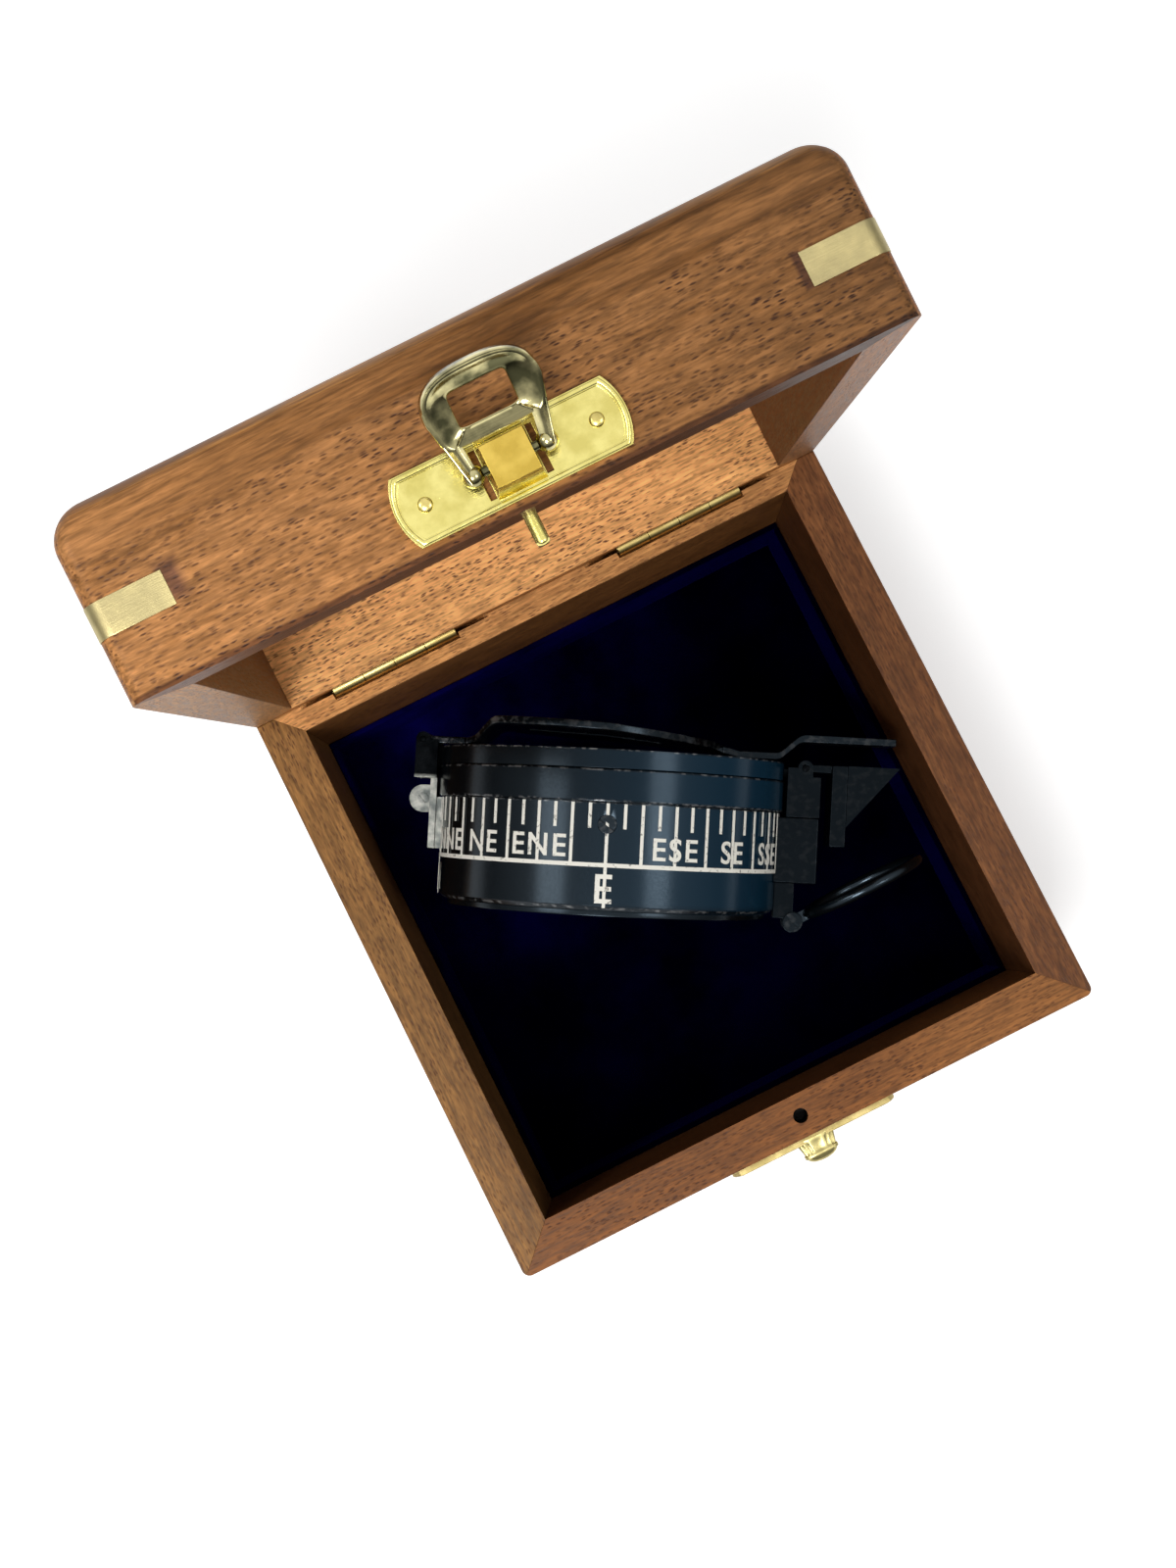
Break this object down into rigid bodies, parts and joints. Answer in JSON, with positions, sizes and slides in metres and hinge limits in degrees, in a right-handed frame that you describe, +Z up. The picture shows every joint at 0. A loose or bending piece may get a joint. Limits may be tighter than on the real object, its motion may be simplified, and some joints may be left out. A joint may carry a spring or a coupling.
{
  "type": "compass box",
  "caption": "Wooden box with a hinged lid on butt hinges, a brass loop latch and inlaid corner straps; a folding prismatic compass stands on its edge in the velvet-lined base.",
  "frame": {"origin": "centre of the base's underside, where the box rests", "axes": "+X along the hinges, +Y from the latch towards the hinges, +Z up out of the open base"},
  "size_m": [0.1102, 0.138, 0.1677],
  "materials": {
    "base_wood": "worn varnish, brown mahogany",
    "lid_wood": "worn varnish, brown mahogany",
    "top_wood": "varnish, orange brown",
    "velvet": "matt navy blue velvet",
    "strap_brass": "pale satin, tarnished",
    "latch_brass": "bright stamped, mottled",
    "hinge_brass": "satin",
    "black_enamel": "satin black, worn at the edges",
    "bare_metal": "dull, worn bare",
    "card_face": "matt off-white",
    "pivot_brass": "turned",
    "magnet_steel": "dark ground",
    "clear_glass": "clear"
  },
  "bodies": {
    "base": {"base_front_wall": "base_wood", "base_back_wall": "base_wood", "base_left_wall": "base_wood", "base_right_wall": "base_wood", "base_bottom_panel": "base_wood", "base_corner_straps": "strap_brass", "floor_velvet": "velvet", "lining_front": "velvet", "lining_back": "velvet", "lining_left": "velvet", "lining_right": "velvet", "base_hinge_leaf_left": "hinge_brass", "base_hinge_leaf_right": "hinge_brass", "hinge_pin_left": "hinge_brass", "hinge_pin_right": "hinge_brass", "keeper_plate": "latch_brass", "keeper_nails": "latch_brass"},
    "lid": {"lid_front_wall": "lid_wood", "lid_back_wall": "lid_wood", "lid_left_wall": "lid_wood", "lid_right_wall": "lid_wood", "lid_top_panel": "top_wood", "lid_corner_straps": "strap_brass", "lid_hinge_leaf_left": "hinge_brass", "lid_hinge_leaf_right": "hinge_brass", "latch_plate": "latch_brass", "latch_nails": "latch_brass", "dowel_pin": "latch_brass"},
    "loop": {"latch_bail": "latch_brass"},
    "compass": {"compass_base_cover": "black_enamel", "compass_case": "black_enamel", "case_screw": "bare_metal", "case_lug": "bare_metal", "card_pivot": "pivot_brass", "sight_hinge_pin": "bare_metal", "prism_bracket": "black_enamel", "ring_lug": "black_enamel", "ring_screw": "bare_metal"},
    "bezel": {"bezel_ring": "black_enamel", "bezel_crystal": "clear_glass", "crystal_ring": "black_enamel"},
    "card": {"compass_card": "card_face", "card_jewel": "pivot_brass", "card_magnets": "magnet_steel"},
    "sight": {"sight_lid": "black_enamel", "sight_window": "clear_glass"},
    "focus": {"prism_slide": "black_enamel", "prism_hinge_pin": "bare_metal"},
    "prism": {"prism_plate": "black_enamel", "prism_housing": "black_enamel", "prism_glass": "clear_glass"},
    "ring": {"thumb_ring": "black_enamel"}
  },
  "joints": [
    {"name": "lid_hinge", "type": "hinge", "parent": "base", "child": "lid", "pos_m": [0, 0.0517, 0.04807], "axis": [-1, 0, 0], "range_deg": [-85, 0]},
    {"name": "latch_swing", "type": "hinge", "parent": "lid", "child": "loop", "pos_m": [0.0006, 0.04827, 0.1581], "axis": [-1, 0, 0], "range_deg": [-150, 32]},
    {"name": "compass_lift", "type": "slide", "parent": "base", "child": "compass", "axis": [0, 0, 1], "range_m": [0, 0.08]},
    {"name": "bezel_turn", "type": "hinge", "parent": "compass", "child": "bezel", "pos_m": [-0.00496, 0.01249, 0.03641], "axis": [0.4918, 0.8692, 0.0518], "continuous": true},
    {"name": "card_turn", "type": "hinge", "parent": "compass", "child": "card", "pos_m": [-0.01389, -0.00329, 0.03547], "axis": [0.4918, 0.8692, 0.0518], "continuous": true},
    {"name": "sight_lid_hinge", "type": "hinge", "parent": "compass", "child": "sight", "pos_m": [-0.02965, 0.0379, 0.03692], "axis": [-0.0255, -0.0451, 0.9987], "range_deg": [0, 1.5]},
    {"name": "prism_focus", "type": "slide", "parent": "compass", "child": "focus", "axis": [0.4918, 0.8692, 0.0518], "range_m": [0, 0.002]},
    {"name": "prism_hinge", "type": "hinge", "parent": "focus", "child": "prism", "pos_m": [0.02894, 0.00255, 0.03682], "axis": [-0.0255, -0.0451, 0.9987], "range_deg": [-6, 10]},
    {"name": "thumb_ring_hinge", "type": "hinge", "parent": "compass", "child": "ring", "pos_m": [0.01467, -0.02105, 0.0354], "axis": [-0.0255, -0.0451, 0.9987], "range_deg": [-197, 15]}
  ]
}
